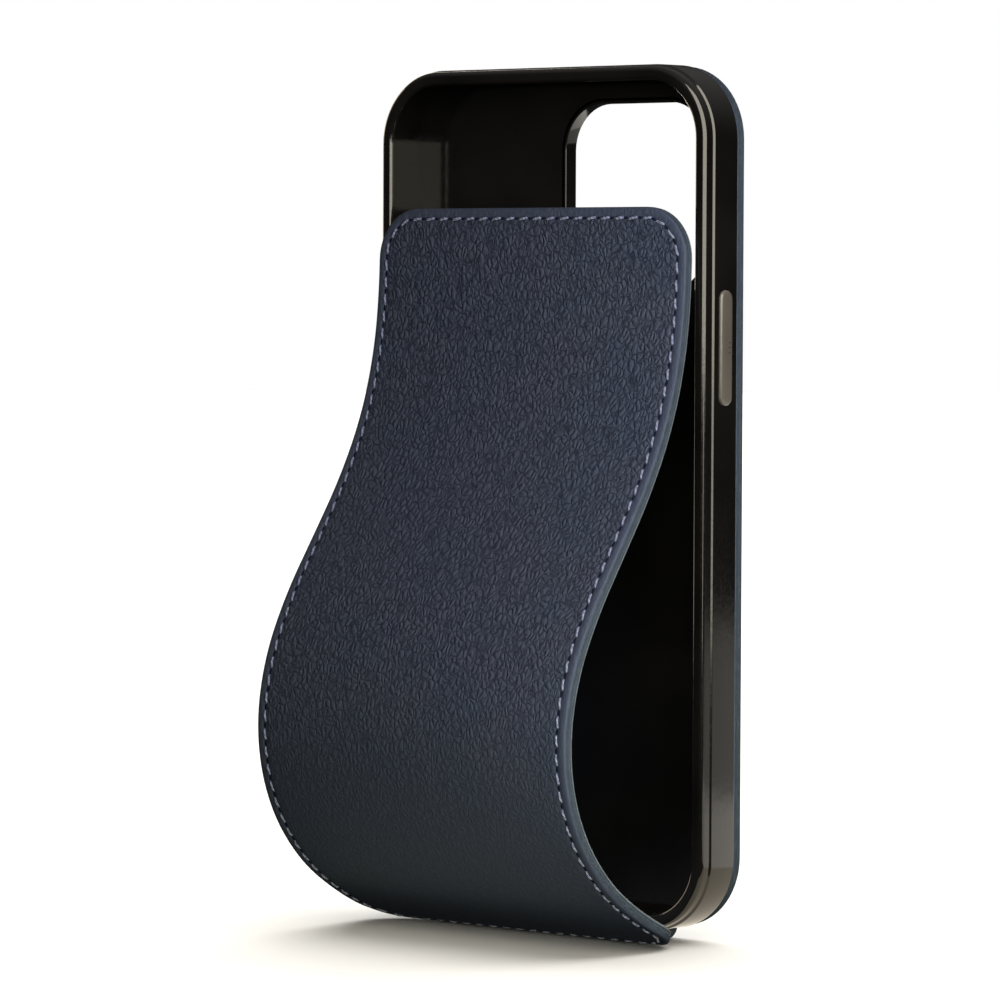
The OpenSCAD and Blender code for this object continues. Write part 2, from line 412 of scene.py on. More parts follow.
def pebbled_leather(name, least_grain):
    s = Surface(name, Specular_IOR_Level=0.30)
    where = s.flat_mm()
    leaning = s.add("ShaderNodeMapping", {"Vector": s.warped(where, 0.25, 2.0), "Rotation": (0, 0, -0.45),
                                          "Scale": (1.0, 0.70, 1.0)}).outputs["Vector"]
    rumpled = s.warped(leaning, 1.6, 0.45)
    pebbles = s.cells(rumpled, 0.84, 0.13)
    pillows = s.cells(rumpled, 0.84, 0.42)
    small = s.cells(s.warped(where, 1.1, 0.55), 1.45, 0.15)
    strong_here = s.ramp(s.noise(where, 0.55, 2.0)["Fac"], 0.30, 0.60, 0.35, 1.0)
    small_here = s.ramp(s.noise(where, 0.30, 2.0)["Fac"], 0.38, 0.62, 0.15, 0.75)
    inset = s.add("ShaderNodeAttribute", attribute_name="inset").outputs["Fac"]
    along = s.add("ShaderNodeSeparateXYZ", {"Vector": where}).outputs["Y"]
    unstretched = s.ramp(along, SMOOTH_BELOW, GRAINY_ABOVE, least_grain, 1.0)
    grain_here = s.math("MULTIPLY", s.ramp(inset, 1.6, 2.8, 0.3, 1.0), unstretched)
    deepest = s.math("MAXIMUM", s.math("MULTIPLY", pebbles, strong_here),
                     s.math("MULTIPLY", small, small_here))
    crease_depth_and_shade = s.math("MULTIPLY", deepest, grain_here)
    hollow = s.math("MULTIPLY", pillows, grain_here)
    pores = s.noise(where, 5.5, 3.0, 0.6)["Fac"]
    patches = s.noise(where, 0.06, 3.0)["Fac"]
    face = s.mix(s.ramp(patches, 0.38, 0.62), opaque(0.0235, 0.0280, 0.0400),
                 opaque(0.0300, 0.0300, 0.0405))
    margin = s.mix(grain_here, opaque(0.0245, 0.0285, 0.0415), face)
    flecks = s.math("MULTIPLY", s.ramp(pores, 0.25, 0.75), unstretched)
    speckled = s.mix(flecks, margin, opaque(0.037, 0.0415, 0.0560))
    # Creases are darkened in colour: painted shade in the grain's creases
    s.colour(s.mix(s.math("MULTIPLY", crease_depth_and_shade, 0.8), speckled, opaque(0.007, 0.008, 0.0135)))
    s.roughness(pores, 0.48, 0.66)
    dips = s.math("ADD", s.math("MULTIPLY", hollow, 0.75), s.math("MULTIPLY", crease_depth_and_shade, 0.4))
    bumps = s.math("MULTIPLY", s.math("MULTIPLY", pores, unstretched), 0.3)
    s.bump(s.math("SUBTRACT", bumps, dips), 0.23)
    return s.material


def raw_edge(name, dark, pale, clump):
    s = Surface(name, Specular_IOR_Level=0.25)
    where = s.object_mm()
    fibres = s.noise(where, 3.2, 4.0, 0.7)["Fac"]
    clumps = s.noise(where, 0.55, 2.0)["Fac"]
    s.colour(s.mix(s.ramp(clumps, 0.35, 0.7), s.mix(s.ramp(fibres, 0.35, 0.68), dark, pale), clump))
    s.roughness(fibres, 0.75, 0.95)
    s.bump(fibres, 0.22)
    return s.material


def suede_lining():
    s = Surface("slate_suede_lining", Specular_IOR_Level=0.2, Sheen_Weight=0.25, Sheen_Roughness=0.5)
    where = s.flat_mm()
    nap = s.noise(where, 4.5, 4.0, 0.65)["Fac"]
    strokes = s.noise(where, 0.12, 3.0)["Fac"]
    brushed = s.mix(s.ramp(strokes, 0.35, 0.65), opaque(0.024, 0.029, 0.039), opaque(0.034, 0.040, 0.052))
    s.colour(s.mix(s.ramp(nap, 0.3, 0.75), brushed, opaque(0.046, 0.053, 0.066)))
    s.roughness(nap, 0.80, 0.96)
    s.bump(nap, 0.09)
    return s.material


def twisted_thread():
    s = Surface("lavender_twisted_thread", Specular_IOR_Level=0.4, Sheen_Weight=0.2)
    where = s.flat_mm()
    ply = s.add("ShaderNodeTexWave", {"Vector": where, "Scale": 0.62, "Distortion": 0.6, "Detail": 1.0},
                wave_type="BANDS", bands_direction="DIAGONAL").outputs["Fac"]
    fuzz = s.noise(where, 6.0, 3.0, 0.6)["Fac"]
    # Dark and light bands along the twist are painted shade and highlight on the plies
    ply_shade_and_highlight = s.mix(ply, opaque(0.050, 0.050, 0.085), opaque(0.115, 0.115, 0.155))
    s.colour(s.mix(s.ramp(fuzz, 0.45, 0.8), ply_shade_and_highlight, opaque(0.150, 0.150, 0.190)))
    s.roughness(fuzz, 0.50, 0.70)
    s.bump(s.math("ADD", ply, s.math("MULTIPLY", fuzz, 0.35)), 0.10)
    return s.material


def needle_hole_shade():
    s = Surface("needle_hole_shade", Specular_IOR_Level=0.1)
    grit = s.noise(s.object_mm(), 4.0, 2.0)["Fac"]
    # Near-black colour: painted shade standing for the needle hole's depth
    s.colour(s.mix(grit, opaque(0.003, 0.003, 0.008), opaque(0.008, 0.008, 0.018)))
    s.roughness(grit, 0.85, 1.0)
    s.bump(grit, 0.1)
    return s.material


def smoke_tpu(name, thin, thick):
    s = Surface(name, Specular_IOR_Level=0.62, Specular_Tint=opaque(1.0, 0.96, 0.87))
    where = s.object_mm()
    flow = s.noise(where, 0.05, 2.0)["Fac"]
    haze = s.noise(where, 1.4, 3.0)["Fac"]
    s.colour(s.mix(s.ramp(flow, 0.3, 0.7), thick, thin))
    s.roughness(haze, 0.07, 0.15)
    s.bump(s.noise(where, 0.35, 2.0)["Fac"], 0.03, 0.35)
    return s.material


def adhesive_film():
    s = Surface("clear_adhesive_film", Specular_IOR_Level=0.45)
    ripple = s.noise(s.object_mm(), 0.3, 3.0)["Fac"]
    s.colour(s.mix(ripple, opaque(0.46, 0.43, 0.36), opaque(0.56, 0.53, 0.45)))
    s.roughness(ripple, 0.30, 0.45, 0.3, 0.7)
    s.bump(ripple, 0.05)
    return s.material


leather_mat = pebbled_leather("navy_pebbled_leather", 0.2)
panel_mat = pebbled_leather("navy_pebbled_panel", 1.0)
edge_mat = raw_edge("raw_leather_edge", opaque(0.012, 0.015, 0.018), opaque(0.038, 0.045, 0.049),
                    opaque(0.019, 0.023, 0.027))
fuzz_mat = raw_edge("raw_lining_edge", opaque(0.050, 0.055, 0.055), opaque(0.120, 0.125, 0.118),
                    opaque(0.070, 0.075, 0.074))
lining_mat = suede_lining()
thread_mat = twisted_thread()
hole_shade_mat = needle_hole_shade()
tray_mat = smoke_tpu("smoke_tpu", opaque(0.0045, 0.0042, 0.0036), opaque(0.0022, 0.0022, 0.0021))
button_mat = smoke_tpu("smoke_tpu_button", opaque(0.078, 0.070, 0.060), opaque(0.060, 0.054, 0.046))
adhesive_mat = adhesive_film()
frame["nodes"]["adhesive_sheet"].data.materials.clear()
frame["nodes"]["adhesive_sheet"].data.materials.append(adhesive_mat)


# Sections of the sheets, as (inset, height) pairs from one face's border to the other's

SEAM_INSET = 2.1
GROOVE_DEPTH = 0.22
FACE_BORDER = 3.4


def leather_profile(face_h, under_h):
    """A face with a sewn groove, a swelling margin, a rolled edge and a cut side."""
    groove = [(SEAM_INSET + 0.8, face_h - 0.03), (SEAM_INSET + 0.35, face_h - 0.13),
              (SEAM_INSET, face_h - GROOVE_DEPTH), (SEAM_INSET - 0.35, face_h - 0.12),
              (SEAM_INSET - 0.7, face_h - 0.02), (0.9, face_h)]
    roll = [(0.45, face_h - 0.05), (0.22, face_h - 0.15), (0.07, face_h - 0.30), (0.02, face_h - 0.46)]
    side = [(0.0, face_h - 0.60), (0.0, under_h + 0.08), (0.06, under_h), (0.5, under_h)]
    return [(FACE_BORDER, face_h)] + groove + roll + side + [(FACE_BORDER, under_h)]


def lining_profile(face_h, under_h):
    """A flat lining with a softly cut edge."""
    return [(FACE_BORDER, face_h), (0.5, face_h), (0.14, face_h), (0.06, face_h - 0.08),
            (0.05, under_h + 0.38), (0.10, under_h + 0.08), (0.25, under_h), (0.8, under_h),
            (FACE_BORDER, under_h)]


# The cut side has at most this inset, and begins this far under the leather's face
SIDE_INSET = 0.1
SIDE_DROP = 0.4


def cut_side_bands(profile, from_height_down):
    """Bands of a profile that lie on the cut side, as band numbers."""
    return [band for band in range(1, len(profile))
            if max(profile[band][0], profile[band - 1][0]) <= SIDE_INSET
            and profile[band][1] < from_height_down]


# Strips of the flap

# Shortest length that a direction is divided by, and slack of a cut through a point
SHORTEST = 1e-12
CUT_SLACK = 1e-5
# Place of the raw edge in a strip's list of materials
EDGE_PLACE = 1


def face_normal(corners):
    if len(corners) == 3:
        a, b, c = corners
        return np.cross(b - a, c - a)
    a, b, c, d = corners[:4]
    return np.cross(c - a, d - b)


def vertex_normals(points, faces):
    normals = np.zeros_like(points)
    for face in faces:
        normals[face] += face_normal(points[face])
    return normals / np.maximum(np.linalg.norm(normals, axis=1), SHORTEST)[:, None]


def sliced(points, faces, face_material, inset, cuts):
    """The same sheet with its faces divided along straight lines across it."""
    work = bmesh.new()
    inset_layer = work.verts.layers.float.new("inset")
    corners = [work.verts.new(point) for point in points]
    for corner, value in zip(corners, inset):
        corner[inset_layer] = value
    for face, material in zip(faces, face_material):
        work.faces.new([corners[i] for i in face]).material_index = int(material)
    for cut in cuts:
        everything = work.verts[:] + work.edges[:] + work.faces[:]
        bmesh.ops.bisect_plane(work, geom=everything, plane_co=(0, cut, 0), plane_no=(0, 1, 0),
                               dist=CUT_SLACK)
    work.verts.index_update()
    new_points = np.array([v.co for v in work.verts])
    new_inset = np.array([v[inset_layer] for v in work.verts])
    new_faces = [[v.index for v in f.verts] for f in work.faces]
    new_material = [f.material_index for f in work.faces]
    work.free()
    return new_points, new_faces, new_material, new_inset


def end_caps(faces):
    """Faces that close the open ends of a strip."""
    edges = {(face[i], face[(i + 1) % len(face)]) for face in faces for i in range(len(face))}
    follow = {b: a for a, b in edges if (b, a) not in edges}
    caps = []
    while follow:
        first = next(iter(follow))
        cap = [first]
        here = follow.pop(first)
        while here != first:
            cap.append(here)
            here = follow.pop(here)
        caps.append(cap)
    return caps


def make_strips(stem, sheet, lengths, materials):
    """Cuts one sheet into closed strips at given lengths; the strips' shading stays continuous."""
    flat, faces, face_material, inset = sliced(*sheet, lengths[1:-1])
    solid = lay_bent(flat)
    normals = vertex_normals(solid, faces)
    middles = np.array([flat[face, 1].mean() for face in faces])
    strips = []
    for number, (low, high) in enumerate(zip(lengths[:-1], lengths[1:]), 1):
        mine = np.flatnonzero((middles > low) & (middles < high))
        kept = sorted({i for f in mine for i in faces[f]})
        renumber = {old: new for new, old in enumerate(kept)}
        strip_faces = [[renumber[i] for i in faces[f]] for f in mine]
        strip_material = [face_material[f] for f in mine]
        caps = end_caps(strip_faces)
        piece = make_piece(f"{stem}_{number:02d}", solid[kept], strip_faces + caps, materials,
                           strip_material + [EDGE_PLACE] * len(caps), flat[kept], inset[kept])
        corner_normals = []
        for face in strip_faces:
            corner_normals += [tuple(normals[kept[i]]) for i in face]
        for place, cap in enumerate(caps, len(strip_faces)):
            corner_normals += [tuple(piece.data.polygons[place].normal)] * len(cap)
        piece.data.normals_split_custom_set(corner_normals)
        strips.append(piece)
    return strips


# Stitches

STITCH_PITCH = 3.42
STITCH_LENGTH = 2.45
STITCH_SLANT = math.radians(9)
THREAD_R = 0.235
THREAD_DIVE = 0.42
DIVE_POWER, SWELL_POWER = 3.2, 4
TIP_SHARE, FLATTENED = 0.62, 0.85
TUBE_STEPS = 10
TUBE_SIDES = 8


def seam_walk(width, length, radius, inset):
    """A function from a length along a seam to its place and heading, clockwise, and the seam's length."""
    half_w, r = width / 2 - inset, radius - inset
    low, high = inset, length - inset
    straight_w, straight_l = 2 * (half_w - r), high - low - 2 * r
    arc = r * math.pi / 2
    legs = [(straight_l, (-half_w, low + r), math.pi / 2), (arc, (-half_w + r, high - r), None),
            (straight_w, (-half_w + r, high), 0.0), (arc, (half_w - r, high - r), None),
            (straight_l, (half_w, high - r), -math.pi / 2), (arc, (half_w - r, low + r), None),
            (straight_w, (half_w - r, low), math.pi), (arc, (-half_w + r, low + r), None)]

    def at(distance):
        start_heading = math.pi / 2
        for leg_length, place, leg_heading in legs:
            if distance <= leg_length:
                if leg_heading is None:
                    turned = distance / r
                    outward = start_heading + math.pi / 2 - turned
                    return (place[0] + r * math.cos(outward), place[1] + r * math.sin(outward),
                            start_heading - turned)
                return (place[0] + distance * math.cos(leg_heading),
                        place[1] + distance * math.sin(leg_heading), leg_heading)
            distance -= leg_length
            if leg_heading is None:
                start_heading -= math.pi / 2
        return (*legs[0][1], math.pi / 2)

    return at, sum(leg[0] for leg in legs)


def along_and_sideways(turn):
    return np.array((math.cos(turn), math.sin(turn))), np.array((-math.sin(turn), math.cos(turn)))


def stitch_tube(x, v, heading_angle, face_h):
    """One slanted stitch that rises out of its needle hole and dives into the next."""
    along, sideways = along_and_sideways(heading_angle + STITCH_SLANT)
    points = []
    for step in np.linspace(-1, 1, TUBE_STEPS + 1):
        centre_h = face_h - THREAD_DIVE * abs(step) ** DIVE_POWER
        swell = THREAD_R * (1 - (1 - TIP_SHARE) * abs(step) ** SWELL_POWER)
        for side in range(TUBE_SIDES):
            turn = 2 * math.pi * side / TUBE_SIDES
            place = np.array((x, v)) + along * step * STITCH_LENGTH / 2 + sideways * swell * math.cos(turn)
            points.append((*place, centre_h + swell * FLATTENED * math.sin(turn)))
    faces = []
    for step in range(TUBE_STEPS):
        ring_a = [step * TUBE_SIDES + side for side in range(TUBE_SIDES)]
        faces += band_faces(TUBE_SIDES, ring_a, [i + TUBE_SIDES for i in ring_a])
    faces.append(tuple(reversed(range(TUBE_SIDES))))
    faces.append(tuple(TUBE_STEPS * TUBE_SIDES + side for side in range(TUBE_SIDES)))
    return np.array(points), faces


HOLE_LONG, HOLE_WIDE, HOLE_HIGH = 0.62, 0.42, 0.12
HOLE_RINGS = 4
HOLE_SIDES = 10


def hole_shade_lens(x, v, heading_angle, face_h):
    """A shallow lens in the groove, where the needle went through; its near-black colour is painted shade
    of the hole.
    """
    along, sideways = along_and_sideways(heading_angle)
    points = [(x, v, face_h - HOLE_HIGH)]
    for ring in range(1, HOLE_RINGS):
        tilt = math.pi * ring / HOLE_RINGS - math.pi / 2
        for side in range(HOLE_SIDES):
            turn = 2 * math.pi * side / HOLE_SIDES
            place = (np.array((x, v)) + along * HOLE_LONG * math.cos(tilt) * math.cos(turn)
                     + sideways * HOLE_WIDE * math.cos(tilt) * math.sin(turn))
            points.append((*place, face_h + HOLE_HIGH * math.sin(tilt)))
    points.append((x, v, face_h + HOLE_HIGH))
    last = len(points) - 1
    faces = []
    for side in range(HOLE_SIDES):
        after = (side + 1) % HOLE_SIDES
        faces.append((0, 1 + after, 1 + side))
        top = 1 + (HOLE_RINGS - 2) * HOLE_SIDES
        faces.append((last, top + side, top + after))
        for ring in range(HOLE_RINGS - 2):
            row = 1 + ring * HOLE_SIDES
            faces.append((row + side, row + after, row + HOLE_SIDES + after, row + HOLE_SIDES + side))
    return np.array(points), faces


def sewn_line(width, length, radius, face_h):
    """All stitches and needle holes of one seam: (place along the sheet, points, faces, is a hole)."""
    at, total = seam_walk(width, length, radius, SEAM_INSET)
    count = round(total / STITCH_PITCH)
    made = []
    for i in range(count):
        x, v, turn = at(total * (i + 0.5) / count)
        made.append((v, *stitch_tube(x, v, turn, face_h), 0))
        x, v, turn = at(total * i / count)
        made.append((v, *hole_shade_lens(x, v, turn, face_h - GROOVE_DEPTH), 1))
    return made


def make_stitches(name, sewn, lay):
    flat, faces = joined([(points, part_faces) for _, points, part_faces, _ in sewn])
    face_material = [hole for _, _, part_faces, hole in sewn for _ in part_faces]
    piece = make_piece(name, lay(flat), faces, [thread_mat, hole_shade_mat], face_material, flat)
    face_outwards(piece)
    return piece


# Flap: outer leather, lining and stitches, in strips laid bent round the fold lines

flap_full = flap_len - flap_end
FLAP_R = 10.0
FLAP_ARC_STEPS = 14
OUTER_ACROSS, OUTER_ALONG = 40, 1.6
INNER_ACROSS, INNER_ALONG = 24, 2.0
FIRST_CUT = 9.0
flap_cuts = [FIRST_CUT] + [(i + 0.5) * stretch for i in range(1, strip_count - 1)]
# Lengths that end the outermost strips lie this far past the sheet
PAST_END = 1.0
flap_lengths = [flap_end - PAST_END] + flap_cuts + [flap_len + PAST_END]


def flap_sheet(profile, across_steps, along_step, side_bands, pale_bands=()):
    points, faces, bands, inset = rounded_sheet(flap_w, flap_full, FLAP_R, profile, across_steps,
                                                along_step, FLAP_ARC_STEPS)
    points[:, 1] += flap_end
    return points, faces, np.isin(bands, side_bands).astype(int) + np.isin(bands, pale_bands), inset


def attach_strip(piece, number, node_stem):
    """Hides the CAD part of strip number, from 1, and bakes the strip's placement into its mesh."""
    if number == 1:
        low, high = -FRONT_FOLD_REACH, FRONT_FOLD_REACH
    else:
        low, high = (flap_cuts + [flap_cuts[-1] + stretch])[number - 2:number]
    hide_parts(f"{node_stem}_{number:02d}")
    on_middle_line(low)
    on_middle_line(high)
    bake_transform(piece)


outer_profile = leather_profile(FACE_H, MEET_H)
outer_sides = cut_side_bands(outer_profile, FACE_H - SIDE_DROP)
outer_sheet = flap_sheet(outer_profile, OUTER_ACROSS, OUTER_ALONG, outer_sides)
inner_profile = lining_profile(MEET_H, BACK_H)
inner_sides = cut_side_bands(inner_profile, MEET_H)
inner_sheet = flap_sheet(inner_profile, INNER_ACROSS, INNER_ALONG, inner_sides, inner_sides[-1:])
for stem, sheet, materials, slot_name, node_stem in (
        ("flap_outer", outer_sheet, [leather_mat, edge_mat], "navy_leather", "flap_leather"),
        ("flap_inner", inner_sheet, [lining_mat, edge_mat, fuzz_mat], "slate_lining", "flap_lining")):
    for number, strip in enumerate(make_strips(stem, sheet, flap_lengths, materials), 1):
        attach_strip(strip, number, node_stem)
        low, high = max(flap_lengths[number - 1], flap_end), min(flap_lengths[number], flap_len)

flap_sewn = [(v + flap_end, points + np.array((0, flap_end, 0)), faces, hole)
             for v, points, faces, hole in sewn_line(flap_w, flap_full, FLAP_R, FACE_H)]
for number, (low, high) in enumerate(zip(flap_lengths[:-1], flap_lengths[1:]), 1):
    mine = [part for part in flap_sewn if low < part[0] <= high]
    attach_strip(make_stitches(f"flap_stitches_{number:02d}", mine, lay_bent), number,
                 "flap_seam")


# Tongue: two layers, each split in the middle, laid bent round the back fold and the front fold

TONGUE_R = 0.5
TONGUE_LAP = 0.1
TONGUE_ACROSS, TONGUE_ALONG, TONGUE_ARC_STEPS = 26, 0.35, 3
tongue_split = -tongue_len / 2
tongue_ends = (-tongue_len - BACK_FOLD_REACH, flap_end + TONGUE_LAP)


def tongue_sheet(profile, side_bands):
    length = tongue_ends[1] - tongue_ends[0]
    points, faces, bands, _ = rounded_sheet(tongue_w, length, TONGUE_R, profile, TONGUE_ACROSS,
                                            TONGUE_ALONG, TONGUE_ARC_STEPS)
    points[:, 1] += tongue_ends[0]
    return points, faces, np.isin(bands, side_bands).astype(int), np.full(len(points), FACE_BORDER)


def plain_profile(face_h, under_h):
    return [(0.4, face_h), (0.25, face_h), (0.08, face_h - 0.08), (0.0, face_h - 0.25),
            (0.0, under_h + 0.06), (0.06, under_h), (0.4, under_h)]


def attach_tongue(pieces, node):
    back_half, front_half = pieces
    for half in pieces:
        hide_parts(node)
    on_middle_line(tongue_ends[0])
    on_middle_line(-tongue_len + BACK_FOLD_REACH)
    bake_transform(back_half)
    on_middle_line(-FRONT_FOLD_REACH)
    on_middle_line(FRONT_FOLD_REACH)
    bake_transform(front_half)


tongue_lengths = [tongue_ends[0] - PAST_END, tongue_split, tongue_ends[1] + PAST_END]
SIDE_BANDS = (3, 4, 5)
for stem, top, under, material, slot_name, node in (
        ("tongue_outer", FACE_H, MEET_H, leather_mat, "navy_leather", "tongue_leather"),
        ("tongue_inner", MEET_H, BACK_H, lining_mat, "slate_lining", "tongue_lining")):
    halves = make_strips(stem, tongue_sheet(plain_profile(top, under), SIDE_BANDS), tongue_lengths,
                         [material, edge_mat])
    attach_tongue(halves, node)


# Back panel

panel_w, panel_h = span("back_leather", X), span("back_leather", Z)
PANEL_R = 14.2
PANEL_ACROSS, PANEL_ALONG, PANEL_ARC_STEPS = 30, 3.0, 16
WINDOW_W, WINDOW_H, WINDOW_R = 35.0, 36.0, 9.0
WINDOW_INSET = 7.0
COLLAR_T = 1.0
COLLAR_GAP = 0.2
window_x = tray_high[X] - WINDOW_INSET - WINDOW_W / 2
window_z = tray_high[Z] - WINDOW_INSET - WINDOW_H / 2
ARC_STEPS = 12


def rounded_outline(width, height, radius, steps=ARC_STEPS):
    """Corner points and outward directions round a rounded rectangle about the origin."""
    places, directions = [], []
    for quarter, (sx, sz) in enumerate(((1, 1), (-1, 1), (-1, -1), (1, -1))):
        for turn in np.linspace(0, math.pi / 2, steps + 1) + quarter * math.pi / 2:
            direction = (math.cos(turn), math.sin(turn))
            places.append((sx * (width / 2 - radius) + radius * direction[0],
                           sz * (height / 2 - radius) + radius * direction[1]))
            directions.append(direction)
    return np.array(places), np.array(directions)


def prism(outline, low, high, place):
    """Closed prism on an outline; place turns (a, b, height) arrays into points."""
    count = len(outline)
    points = np.concatenate([place(outline[:, 0], outline[:, 1], np.full(count, h)) for h in (low, high)])
    faces = band_faces(count, list(range(count)), list(range(count, 2 * count)))
    faces += [tuple(reversed(range(count))), tuple(range(count, 2 * count))]
    return points, faces


def upright(a, b, depth):
    return np.column_stack((a, depth, b))


def window_cutter(grow, low, high):
    outline, _ = rounded_outline(WINDOW_W + 2 * grow, WINDOW_H + 2 * grow, WINDOW_R + grow)
    return make_piece("cutter", *prism(outline + (window_x, window_z), low, high, upright), [])


def on_panel(flat):
    """Lays a sheet on the back panel; heights count from the middle of the laminate."""
    middle = panel_face - FACE_H
    return np.column_stack((-flat[:, 0], middle + flat[:, 2], flat[:, 1] + panel_low[Z]))


def make_panel_layer(name, profile, side_bands, materials, node):
    points, faces, bands, inset = rounded_sheet(panel_w, panel_h, PANEL_R, profile, PANEL_ACROSS,
                                                PANEL_ALONG, PANEL_ARC_STEPS)
    piece = make_piece(name, on_panel(points), faces, materials, np.isin(bands, side_bands).astype(int),
                       points, inset)
    face_outwards(piece)
    carve(piece, [window_cutter(COLLAR_T + COLLAR_GAP, panel_face - 2 * sheet_t, panel_face + sheet_t)])
    crisp(piece)
    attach(piece, "tray")
    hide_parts(node)


make_panel_layer("panel_outer", outer_profile, outer_sides, [panel_mat, edge_mat],
                 "back_leather")
make_panel_layer("panel_inner", inner_profile, inner_sides, [lining_mat, edge_mat],
                 "back_lining")
panel_stitches = make_stitches("panel_stitches", sewn_line(panel_w, panel_h, PANEL_R, FACE_H), on_panel)
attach(panel_stitches, "tray")
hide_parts("back_seam")


# Tray: a swept rim, a floor and a window collar

WALL_T = 2.4
FLOOR_T = 0.9
LIP_T = 1.4
LIP_REACH = 0.7
BEZEL_DEPTH = 2.3
BEZEL_STEP = 0.35
CROWN_R = 1.0
tray_w, tray_h = tray_high[X] - tray_low[X], tray_high[Z] - tray_low[Z]
pocket_w, pocket_h = tray_w - 2 * WALL_T, tray_h - 2 * WALL_T
POCKET_R = 12.0
tray_mid_z = (tray_low[Z] + tray_high[Z]) / 2
tray_d = node_box("adhesive_sheet")[0][Y] - lip_y
FILLET_STEPS = 6
RIM_ARC_STEPS = 18


def filleted(corners):
    """Closed outline from (a, b, radius) corners, with each corner rounded by an arc."""
    outline = []
    count = len(corners)
    for i, (a, b, radius) in enumerate(corners):
        here = np.array((a, b))
        to_last = np.array(corners[i - 1][:2]) - here
        to_next = np.array(corners[(i + 1) % count][:2]) - here
        to_last /= np.linalg.norm(to_last)
        to_next /= np.linalg.norm(to_next)
        half_angle = math.acos(np.clip(to_last @ to_next, -1, 1)) / 2
        reach = radius / math.tan(half_angle)
        bisector = (to_last + to_next) / np.linalg.norm(to_last + to_next)
        centre = here + bisector * radius / math.sin(half_angle)
        start, end = here + to_last * reach - centre, here + to_next * reach - centre
        sweep = math.atan2(start[0] * end[1] - start[1] * end[0], start @ end)
        for share in np.linspace(0, 1, FILLET_STEPS + 1):
            turn = share * sweep
            outline.append(centre + (start[0] * math.cos(turn) - start[1] * math.sin(turn),
                                     start[0] * math.sin(turn) + start[1] * math.cos(turn)))
    return np.array(outline)


def swept_round(width, height, radius, section, x, z, steps):
    """Sweeps a closed (outwards, depth) section round an upright rounded rectangle."""
    places, directions = rounded_outline(width, height, radius, steps)
    count, ring = len(places), len(section)
    points = np.concatenate([
        np.column_stack((x + place[0] + direction[0] * section[:, 0], lip_y + section[:, 1],
                         z + place[1] + direction[1] * section[:, 0]))
        for place, direction in zip(places, directions)])
    faces = []
    for i in range(count):
        ring_a = [i * ring + k for k in range(ring)]
        ring_b = [(i + 1) % count * ring + k for k in range(ring)]
        faces += band_faces(ring, ring_a, ring_b)
    return points, faces


rim_section = filleted([
    (-LIP_REACH, LIP_T, 0.25), (-LIP_REACH, 0.0, 0.8), (WALL_T - BEZEL_STEP, 0.0, CROWN_R),
    (WALL_T - BEZEL_STEP, BEZEL_DEPTH, 0.12), (WALL_T, BEZEL_DEPTH + BEZEL_STEP, 0.18),
    (WALL_T, tray_d, 0.45), (0.0, tray_d, 0.05), (0.0, LIP_T, 0.3)])


# Share of half its width that rounds a pill's ends, so that its points stay apart
PILL_ROUND = 0.999


def pill(length, width):
    """Outline of a pill, long in its first coordinate."""
    outline, _ = rounded_outline(length, width, width / 2 * PILL_ROUND)
    return outline


BUTTON_W = 3.6
BUTTON_GAP = 0.15
SIDE_BUTTON_L = 22.0
VOLUME_BUTTON_L = 12.0
button_mid = {name: (node_box(name)[0] + node_box(name)[1]) / 2
              for name in ("side_button", "volume_up_button", "volume_down_button")}
SWITCH_L, SWITCH_W, SWITCH_DROP = 8.0, 5.0, 36.0
PORT_W, PORT_D = 14.0, 5.6
SPEAKER_W, SPEAKER_D, SPEAKER_X = 13.0, 2.4, 18.0
CUT_PAST = 1.0
pocket_mid_y = lip_y + LIP_T + (tray_d - LIP_T - FLOOR_T) / 2


def wall_cutter(length, width, side, y, z):
    """Pill-shaped cutter through the right wall (side 1) or the left wall (side -1)."""
    low, high = pocket_w / 2 - CUT_PAST, tray_w / 2 + CUT_PAST
    return make_piece("cutter", *prism(pill(length, width), low, high,
                                       lambda a, b, h: np.column_stack((side * h, y + b, z + a))), [])


def bottom_cutter(length, width, x):
    low, high = tray_low[Z] - CUT_PAST, tray_low[Z] + WALL_T + CUT_PAST
    return make_piece("cutter", *prism(pill(length, width), low, high,
                                       lambda a, b, h: np.column_stack((x + a, pocket_mid_y + b, h))), [])


button_y = button_mid["side_button"][Y]
rim_cutters = [wall_cutter(SIDE_BUTTON_L + 2 * BUTTON_GAP, BUTTON_W + 2 * BUTTON_GAP, 1, button_y,
                           button_mid["side_button"][Z])]
rim_cutters += [wall_cutter(VOLUME_BUTTON_L + 2 * BUTTON_GAP, BUTTON_W + 2 * BUTTON_GAP, -1, button_y,
                            button_mid[name][Z]) for name in ("volume_up_button", "volume_down_button")]
rim_cutters.append(wall_cutter(SWITCH_L, SWITCH_W, -1, button_y, tray_high[Z] - SWITCH_DROP))
rim_cutters.append(bottom_cutter(PORT_W, PORT_D, 0.0))
rim_cutters += [bottom_cutter(SPEAKER_W, SPEAKER_D, side * SPEAKER_X) for side in (-1, 1)]


def make_tray_piece(name, shape, cutters):
    piece = make_piece(name, *shape, [tray_mat])
    face_outwards(piece)
    if cutters:
        carve(piece, cutters)
    crisp(piece)
    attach(piece, "tray")
    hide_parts("tpu_tray")


make_tray_piece("tray_rim", swept_round(pocket_w, pocket_h, POCKET_R, rim_section, 0.0, tray_mid_z,
                                        RIM_ARC_STEPS), rim_cutters)
floor_outline, _ = rounded_outline(pocket_w, pocket_h, POCKET_R)
make_tray_piece("tray_floor", prism(floor_outline + (0.0, tray_mid_z), lip_y + tray_d - FLOOR_T,
                                    lip_y + tray_d, upright),
                [window_cutter(COLLAR_T / 2, lip_y, panel_face)])

